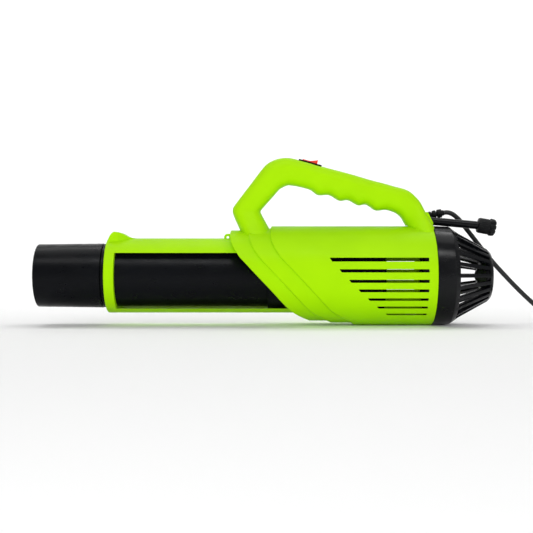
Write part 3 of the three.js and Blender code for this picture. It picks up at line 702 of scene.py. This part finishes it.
def handle_form(name, inset, sides, steps):
    """The loop handle's solid, shrunk by an inset: superellipse sections across the stations."""
    rings = []
    for ox, oz, ix, iz, half_width in spline_rows(HANDLE_STATIONS, steps):
        middle = np.array([(ox + ix) / 2, (oz + iz) / 2])
        across = np.array([(ox - ix) / 2, (oz - iz) / 2])
        depth = np.linalg.norm(across)
        across *= (depth - inset) / depth
        ring = []
        for turn in np.linspace(0, 2 * math.pi, sides, endpoint=False):
            place = middle + across * squircle(math.cos(turn))
            ring.append((place[0], (half_width - inset) * squircle(math.sin(turn)), place[1]))
        rings.append(ring)
    return loft(name, rings)


SWITCH_AT = (52, 138)  # x and z
GRIP_SLOPE = math.radians(15.7)
ON_GRIP = Matrix.Translation((SWITCH_AT[0], 0, SWITCH_AT[1])) @ Matrix.Rotation(GRIP_SLOPE, 4, "Y")

PIPE_FROM, PIPE_SLOPE = (186, -5, 68), math.radians(5.2)
PIPE_PLACE = Matrix.Translation(PIPE_FROM) @ Matrix.Rotation(PIPE_SLOPE, 4, "Y")
NUT_PLACE = Matrix.Translation((263.8, -5, 60.6)) @ Matrix.Rotation(math.radians(10), 4, "Y")
GLAND_FROM, GLAND_SLOPE = (190, 7, 72.6), math.radians(10)
GLAND_PLACE = Matrix.Translation(GLAND_FROM) @ Matrix.Rotation(-GLAND_SLOPE, 4, "Y")

SCREWS = {  # name: x, z and the y of the seat under the head
    "handle_screw_1": (-28.5, 88, 8), "handle_screw_2": (20, 134.5, 8), "handle_screw_3": (152, 88.5, 8),
    "body_screw_1": (112, -51.3, 12), "body_screw_2": (178, -51.3, 12), "frame_screw_1": (-184, 48.6, 12),
}
COUNTERBORE = 3.6
BOSS_RADIUS = 5.3


def bosses(prefix, limit):
    """Screw bosses of one side, trimmed to a solid. The solid is used up."""
    pins = [
        pin_y("boss", x, z, BOSS_RADIUS, -30, 30)
        for name, (x, z, _) in SCREWS.items() if name.startswith(prefix)
    ]
    whole = boolean(pins[0], pins[1:], "UNION")
    return boolean(whole, [limit], "INTERSECT")


def handle_piece():
    """The hollow loop handle with its bosses and openings, both sides in one."""
    handle = handle_form("handle", 0, 72, 420)
    pad_outline = rounded([(190, 77), (195, 77.4), (201.4, 64.5), (201.4, 61), (188, 61)], 1.2, 3)
    pad = prism("pad", pad_outline, -13, 13)
    boolean(handle, [bevel(pad, 1, 3, 50)], "UNION")
    boolean(handle, [handle_form("cavity", HANDLE_WALL, 36, 140)])
    boolean(handle, [bosses("handle", handle_form("limit", 1, 36, 140))], "UNION")
    below = revolve("below", [(-90, 40), (BODY_END + 30, 40), (BODY_END + 30, 0), (-90, 0)], 96)
    ring_space = revolve("ring_space", [(BODY_END, 0), (BODY_END, 61.4), (236, 61.4), (236, 0)], 128)
    pipe_hole = moved(turned("hole", [(-8, 0), (-8, 5.2), (30, 5.2), (30, 0)], 0), PIPE_PLACE)
    gland_outline = [(-6, 0), (-6, 4.2), (7.9, 4.2), (7.9, 5.8), (24, 5.8), (24, 0)]
    gland_hole = moved(turned("hole", gland_outline, 0), GLAND_PLACE)
    switch_hole = moved(block("hole", -13.9, 13.9, -6.6, 6.6, -22, 6), ON_GRIP)
    switch_seat = moved(block("seat", -14.8, 14.8, -7.8, 7.8, -1.3, 6), ON_GRIP)
    return boolean(handle, [below, ring_space, pipe_hole, gland_hole, switch_hole, switch_seat])


def keep_left(obj):
    """Cuts away everything beyond the parting line."""
    return boolean(obj, [block("cutter", -400, 400, -SEAM, 120, -120, 240)])


def make_housing():
    """Both mouldings. Each stands for the three nodes that the CAD model splits it into."""
    common = loft("body", half_rings(body_section, *HALF_TURN, 161))
    inside = BANDS[2][0] - 1
    body_inside = revolve("limit", [(60, 40), (198, 40), (198, inside), (60, inside)], 96)
    parts = [keep_left(handle_piece()), keep_left(bosses("body", body_inside)), hump(), eyelet()]
    boolean(common, parts, "UNION")
    boolean(common, [pin_y("hole", *EYELET_AT, 1.7, -6, 6, 32)])
    for side in ("left", "right"):
        half = bpy.data.objects.new(side, common.data.copy())
        bpy.context.collection.objects.link(half)
        boolean(half, [frame_piece(side)], "UNION")
        if side == "left":
            boolean(half, [slot_cutter(z, opening, start) for z, opening, start, _, _ in AIR_SLOTS])
        else:
            boolean(half, [slot_cutter(z, opening, start) for _, _, start, z, opening in AIR_SLOTS])
            half.data.transform(Matrix.Scale(-1, 4, (0, 1, 0)))
            half.data.flip_normals()
            boolean(half, [pin_y("bore", x, z, COUNTERBORE, seat, 40, 40) for x, z, seat in SCREWS.values()])
        finish_piece(half, f"housing_{side}", GREEN, "housing",
                     [f"body_{side}", f"frame_{side}", f"handle_{side}"], angle=28)
    bpy.data.objects.remove(common)


make_housing()

# ---------------------------------------------------------------- duct, nozzle and fan casing


def make_duct():
    """The air duct, with a collar in front of the frame's ring."""
    collar_front, collar_rear = -199.6, FRAME_FRONT - 0.3
    duct = revolve("duct", rounded([
        (DUCT_FRONT, 36.4), (collar_front, 36.4), (collar_front, 39), (collar_rear, 39),
        (collar_rear, 37.5), (DUCT_END, 37.5), (DUCT_END, 35.5), (-200, 35.5), (DUCT_FRONT, 34.8),
    ], 0.4, 3), 144)
    finish_piece(duct, "air_duct", BLACK, "housing", ["duct_tube"])


def make_nozzle():
    """The outlet sleeve, plugged over the duct's front end."""
    nozzle = revolve("nozzle", rounded([
        (NOZZLE_LIP, 38.35), (NOZZLE_REAR, 39.3), (NOZZLE_REAR, 36.8), (-226, 36.8), (-228, 35.4),
        (NOZZLE_LIP, 35.4),
    ], [1.1, 0.5, 0.3, 0.3, 0.5, 0.7], 5), 160)
    finish_piece(nozzle, "outlet_sleeve", BLACK, "housing", ["nozzle_sleeve"])


def make_casing():
    """The fan's shroud, which widens from the duct to the fan."""
    casing = revolve("casing", rounded([
        (0, 40.4), (23, 40.4), (48, 45), (CASING_END, 45), (CASING_END, 43.6),
        (138, 42.5), (50, 42.5), (22.2, 35.8), (22.2, 37.8), (0, 37.8),
    ], [0.6, 1, 6, 1, 0.6, 2, 6, 0.3, 0.3, 0.4], 4), 144)
    finish_piece(casing, "fan_shroud", BLACK, "housing", ["fan_casing"])


make_duct()
make_nozzle()
make_casing()

# ---------------------------------------------------------------- intake guard

RIB_COUNT = 24
RIB_PITCH = 2 * math.pi / RIB_COUNT
RIB_HALF = 2.3
SLOT_BIG_X, SLOT_SMALL_X = 226.6, 267.2


def cone_radius(x):
    """The cage's outer radius at a place along the axis."""
    return float(np.interp(x, [221, 232, 268], [60, 52.4, 32.6]))


def guard_slot(turn):
    """A wedge between two ribs of even width, with a round small end."""

    def half(x):
        """Half the gap between the ribs."""
        return cone_radius(x) * math.tan(RIB_PITCH / 2) - RIB_HALF

    small = half(SLOT_SMALL_X - 3)
    side = [(x, half(x)) for x in (SLOT_BIG_X, 232, 246, SLOT_SMALL_X - small)]
    arc = [
        (SLOT_SMALL_X - small + small * math.sin(t), small * math.cos(t))
        for t in np.linspace(0.2, math.pi / 2, 9)
    ]
    upper = side + arc
    outline = upper + [(x, -w) for x, w in upper[::-1][1:]]
    rings = [[(x, w, z) for x, w in outline] for z in (25.8, 75)]
    return moved(loft("slot", rings), Matrix.Rotation(turn, 4, "X"))


def make_guard():
    """The ring and its cage of ribs, with a shallow cone inside the cap."""
    outline = [
        (195.5, 57.1), (199.98, 57.1), (199.98, 61), (221, 60), (232, 52.4), (268, 32.6), (271.5, 29),
        (271.5, 0), (253.5, 0), (254.5, 3), (263, 24.5), (264, 27), (230.8, 47.6), (220, 56), (202, 54.6),
        (195.5, 54.6),
    ]
    radii = [0.3, 0.2, 0.9, 1.6, 1.4, 1.8, 1.8, 0, 0, 1, 0.6, 0.6, 1.5, 1.5, 1, 0.3]
    guard = revolve("guard", rounded(outline, radii, 5), 176)
    boolean(guard, [guard_slot(RIB_PITCH * (i + 0.5)) for i in range(RIB_COUNT)])
    bevel(guard, 0.45, 2, 40)
    finish_piece(guard, "intake_cage", GLOSS, "housing", ["intake_guard"], angle=40)


make_guard()

# ---------------------------------------------------------------- rear fittings


def make_pipe():
    """The rigid inlet pipe with its end collar, and the gasket against it."""
    pipe = revolve("pipe", rounded([(0, 4.9), (81, 4.9), (81, 5.8), (84, 5.8), (84, 3), (0, 3)], 0.3, 3), 64)
    finish_piece(moved(pipe, PIPE_PLACE), "inlet_pipe", GLOSS, "housing", ["hose_pipe"])
    gasket = revolve("gasket", rounded([(84.3, 5.6), (85.8, 5.6), (85.8, 3.4), (84.3, 3.4)], 0.4, 3), 48)
    finish_piece(moved(gasket, PIPE_PLACE), "inlet_gasket", SEAL, "housing", ["hose_gasket"])


def make_nut():
    """Union nut: ribbed barrel, lobed flange and a threaded bore."""
    lobes, ridges, threads = 8, 24, 6
    turns = np.linspace(0, 2 * math.pi, lobes * 16, endpoint=False)
    flange = [(9.85 + 0.8 * math.cos(lobes * t) - 0.18 * math.cos(2 * lobes * t), t) for t in turns]
    rings = []
    flange_steps = [
        (7, 1.2), (7.4, 0.4), (8.2, 0), (10.5, 0), (12.2, 0.25), (13.4, 0.7), (14.2, 1.3), (14.5, 1.9),
    ]
    for x, shrink in flange_steps:
        rings.append([(x, (r - shrink) * math.sin(t), (r - shrink) * math.cos(t)) for r, t in flange])
    nut = loft("nut", rings)
    barrel_turns = np.linspace(0, 2 * math.pi, ridges * 8, endpoint=False)
    barrel_steps = [
        (-7, 7.9, 0), (-6.6, 8.7, 0), (-5.6, 9.1, 0), (-4.6, 9.15, 0.22), (5.4, 9.15, 0.22),
        (6.6, 9.1, 0), (7.6, 9.1, 0),
    ]
    barrel_rings = []
    for x, radius, ridge in barrel_steps:
        barrel = [(radius + ridge * math.cos(ridges * t), t) for t in barrel_turns]
        barrel_rings.append([(x, r * math.sin(t), r * math.cos(t)) for r, t in barrel])
    boolean(nut, [loft("barrel", barrel_rings)], "UNION")
    through = turned("bore", [(-9, 0), (-9, 5.6), (-1, 5.6), (-1, 0)], 0, 64)
    thread = [(-1.5, 0), (-1.5, 7.3)]
    for i in range(threads):
        x = 3 + 2 * i
        thread += [(x, 7.3), (x + 0.9, 7.9), (x + 1.1, 7.9)]
    thread += [(16, 8.1), (16, 0)]
    boolean(nut, [through, turned("bore", thread, 0, 64)])
    rider = JOINTS["hose_nut_turn"]["child"]
    finish_piece(moved(nut, NUT_PLACE), "inlet_nut", MATTE, rider, ["hose_nut"], angle=40)


def make_gland():
    """Segmented strain relief: three notched ribs that grow towards the lead, and a short tail."""
    outline = [
        (0, 0), (0, 3.9), (8.4, 3.9), (8.4, 4.5), (12, 4.5), (12.4, 3.3), (13.6, 3.3), (14, 5),
        (17.8, 5), (18.2, 3.3), (19.4, 3.3), (19.8, 5.3), (25, 5.3), (25.6, 3.7), (28, 3.4), (28, 0),
    ]
    gland = turned("gland", outline, 0.4, 72, 3)
    notches = []
    for i, x in enumerate((9.6, 15.2, 21.4)):
        for side in (0, 1):
            notch = block("notch", x, x + 1.8, 3.6, 8, -1.7, 1.7)
            notches.append(moved(notch, Matrix.Rotation(math.pi * (side + 0.5 * i + 0.15), 4, "X")))
    boolean(gland, notches)
    finish_piece(moved(gland, GLAND_PLACE), "lead_gland", MATTE, "housing", ["cable_gland"])


make_pipe()
make_nut()
make_gland()

# ---------------------------------------------------------------- rocker switch

ROCKER_TILT = math.radians(11)


def make_switch():
    """Rocker switch: a bezel round a well, and the rocker tipped to its rest position."""
    shell = block("switch", -13.5, 13.5, -6.2, 6.2, -13, 0)
    bezel = block("bezel", -14.5, 14.5, -7.5, 7.5, -1, 0.9)
    boolean(shell, [bevel(bezel, 0.6, 3)], "UNION")
    boolean(shell, [block("well", -10.9, 10.9, -5.1, 5.1, -8, 3)])
    bevel(shell, 0.25, 2)
    finish_piece(moved(shell, ON_GRIP), "switch_bezel", BLACK, "housing", ["switch_body"])

    top = [(9.5 - 19 * t, 2.4 + 1.8 * abs(1 - 2 * t) ** 1.35) for t in np.linspace(0, 1, 25)]
    outline = rounded([(-9.8, -0.5), (-5, -4.5), (5, -4.5), (9.8, -0.5)], [0.4, 2, 2, 0.4], 4)
    rocker = prism("rocker", [*outline, *top], -4.7, 4.7)
    bevel(rocker, 0.45, 3, 50)
    tilt = Matrix.Rotation(-ROCKER_TILT, 4, "Y")
    rider = JOINTS["rocker_tilt"]["child"]
    finish_piece(moved(rocker, ON_GRIP @ tilt), "rocker_key", RED, rider, ["switch_rocker"])


make_switch()

# ---------------------------------------------------------------- rotor and spray head


def make_impeller():
    """Axial fan: nine twisted blades on a hub."""
    blades, root, tip, middle = 9, 12.5, 41.2, 120
    hub = turned("hub", [(108, 0), (108, 14), (131.7, 14), (131.7, 0)], 0.8, 96)
    for b in range(blades):
        rings = []
        for f in np.linspace(0, 1, 15):
            r = root + (tip - root) * f
            pitch = math.radians(58 - 26 * f)
            chord = 24 - 3 * f
            ring = []
            for t in np.linspace(0, 2 * math.pi, 20, endpoint=False):
                u = math.cos(t)
                thick = 0.9 * math.sin(t) * (1 - 0.35 * u)
                camber = 2.2 * (1 - u * u)
                along, off = chord / 2 * u, thick + camber
                x = middle + along * math.cos(pitch) - off * math.sin(pitch)
                swing = (along * math.sin(pitch) + off * math.cos(pitch)) / r
                ring.append((x, r * math.sin(swing), r * math.cos(swing)))
            rings.append(ring)
        blade = moved(loft("blade", rings), Matrix.Rotation(2 * math.pi * b / blades, 4, "X"))
        boolean(hub, [blade], "UNION")
    boolean(hub, [turned("bore", [(104, 0), (104, 2.8), (140, 2.8), (140, 0)], 0, 48)])
    finish_piece(hub, "fan_wheel", MATTE, JOINTS["fan_spin"]["child"], ["impeller"], angle=40)


def make_spinner():
    """The domed cap on the hub's intake side."""
    nose = [(132 + 6.4 * math.sin(t), 13.8 * math.cos(t)) for t in np.linspace(0.12, math.pi / 2 - 0.02, 14)]
    outline = [(133.7, 0), (133.7, 2.9), (132, 2.9), (132, 13.75), *nose, (138.4, 0)]
    spinner = revolve("spinner", outline, 96)
    finish_piece(spinner, "fan_spinner", BLACK, JOINTS["fan_spin"]["child"], ["spinner"])


def make_spray_head():
    """A ring in the nozzle whose arms carry the spray tip on the axis."""
    arm_count, arm_middle = 3, -253
    ring = revolve("ring", rounded([(-262, 35.1), (-244, 35.1), (-244, 33), (-262, 33)], 0.6, 3), 96)
    hub = turned("hub", [(-259, 0), (-259, 7.5), (-244, 7.5), (-244, 0)], 1.2, 64)
    arms = []
    for i in range(arm_count):
        section = [
            (arm_middle + 5.2 * math.cos(t), 1.5 * math.sin(t))
            for t in np.linspace(0, 2 * math.pi, 24, endpoint=False)
        ]
        arm = loft("arm", [[(x, y, z) for x, y in section] for z in (5, 34)])
        arms.append(moved(arm, Matrix.Rotation(2 * math.pi * i / arm_count, 4, "X")))
    boolean(ring, [hub, *arms], "UNION")
    boolean(ring, [turned("socket", [(-245, 0), (-245, 3), (-242, 3), (-242, 0)], 0, 32)])
    finish_piece(ring, "spray_spider", MATTE, "housing", ["spray_head"])
    tip_outline = [(-268, 0), (-268, 2), (-266.5, 4.5), (-262, 5.5), (-259.3, 5.5), (-259.3, 0)]
    tip = turned("tip", tip_outline, 0.5, 48, 4)
    boolean(tip, [turned("jet", [(-270, 0), (-270, 0.6), (-264, 0.6), (-264, 0)], 0, 24)])
    finish_piece(tip, "spray_nozzle_tip", BRASS, "housing", ["spray_tip"])


make_impeller()
make_spinner()
make_spray_head()

# ---------------------------------------------------------------- screws


def make_screw(name):
    """A pan-head screw with a cross recess, along -Y from its seat."""
    x, z, seat = SCREWS[name]
    crown = [(0.3 + 1.9 * math.sin(t), 3.1 * math.cos(t)) for t in np.linspace(0.35, math.pi / 2 - 0.05, 8)]
    outline = [(-18.7, 0), (-18.7, 0.5), (-17, 1.5), (0.3, 1.5), (0.3, 3.1), *crown, (2.2, 0)]
    screw = revolve("screw", outline, 48)
    wing = [(-1.7, 2.6), (1.7, 2.6), (0.7, 0.9), (-0.7, 0.9)]
    for turn in (0, math.pi / 2):
        cutter = loft("cross", [[(h, w, y) for w, h in wing] for y in (-0.4, 0.4)])
        boolean(screw, [moved(cutter, Matrix.Rotation(turn, 4, "X"))])
    place = Matrix.Translation((x, seat, z)) @ Matrix.Rotation(math.pi / 2, 4, "Z")
    finish_piece(moved(screw, place), f"{name}_head", STEEL, "housing", [name])


for screw_name in SCREWS:
    make_screw(screw_name)

# ---------------------------------------------------------------- CAD nodes that keep their shape

KEPT = {
    "duct_seal": SEAL, "feed_tube": TUBE, "motor_wire": RED, "supply_wire": MATTE, "stator": MATTE,
    "motor_can": CAN_STEEL, "motor_end_cap": MATTE, "motor_screw_left": STEEL, "motor_screw_right": STEEL,
    "motor_shaft": STEEL, "switch_terminal_1": BRASS, "switch_terminal_2": BRASS,
}
for node, material in KEPT.items():
    kept = frame["nodes"][node]
    kept.data.materials.clear()
    kept.data.materials.append(material)

# ---------------------------------------------------------------- floor and light


def make_stage():
    """A pale sweep: floor that curves up into a backdrop."""
    front, depth, height, half_width, curve = -6.0, 3.2, 5.0, 8.0, 0.9
    points = [(front, 0.0), (depth - curve, 0.0)]
    points += [
        (depth - curve + curve * math.sin(t), curve - curve * math.cos(t))
        for t in np.linspace(0.1, math.pi / 2, 16)
    ]
    points += [(depth, height)]
    verts = [(x, y, z) for y, z in points for x in (-half_width, half_width)]
    faces = [(2 * i, 2 * i + 1, 2 * i + 3, 2 * i + 2) for i in range(len(points) - 1)]
    mesh = bpy.data.meshes.new("sweep")
    mesh.from_pydata(verts, [], faces)
    sweep = bpy.data.objects.new("sweep", mesh)
    bpy.context.collection.objects.link(sweep)
    n = Nodes("paper")
    n.link(n.blend(n.noise(3, 2), (0.95, 0.95, 0.95), (0.97, 0.97, 0.97)), n.shader.inputs["Base Color"])
    n.link(n.ramp(n.noise(40, 3), 0.85, 0.95), n.shader.inputs["Roughness"])
    mesh.materials.append(n.material)
    mesh.shade_smooth()


def area_light(name, place, target, size, power):
    """A rectangular light that faces a target, with its power in watts."""
    data = bpy.data.lights.new(name, "AREA")
    data.shape = "RECTANGLE"
    data.size, data.size_y = size
    data.energy = power
    light = bpy.data.objects.new(name, data)
    light.location = place
    light.rotation_euler = (Vector(target) - Vector(place)).to_track_quat("-Z", "Y").to_euler()
    bpy.context.collection.objects.link(light)
    return light


def make_light():
    """Soft studio light from all round, a broad key in front and a bright backdrop."""
    world = bpy.data.worlds.new("studio")
    world.use_nodes = True
    background = world.node_tree.nodes["Background"]
    background.inputs["Color"].default_value = (1, 1, 1, 1)
    background.inputs["Strength"].default_value = 0.38
    bpy.context.scene.world = world
    middle = (0, 0, 0.08)
    key = area_light("key", (-0.3, -1.9, 0.35), middle, (1.8, 1.2), 26)
    key.visible_glossy = False
    area_light("fill", (1.3, -1.3, 0.5), middle, (1.0, 1.2), 4)
    strip = area_light("strip", (-0.1, -0.9, 1.3), middle, (1.8, 0.3), 11)
    strip.visible_diffuse = False
    area_light("top", (0, 0.3, 1.8), middle, (2.2, 1.2), 9)
    area_light("backdrop", (0, 1.2, 2.4), (0, 3.0, 0.6), (4.0, 1.0), 56)
    bpy.context.scene.view_settings.view_transform = "Standard"


make_stage()
make_light()
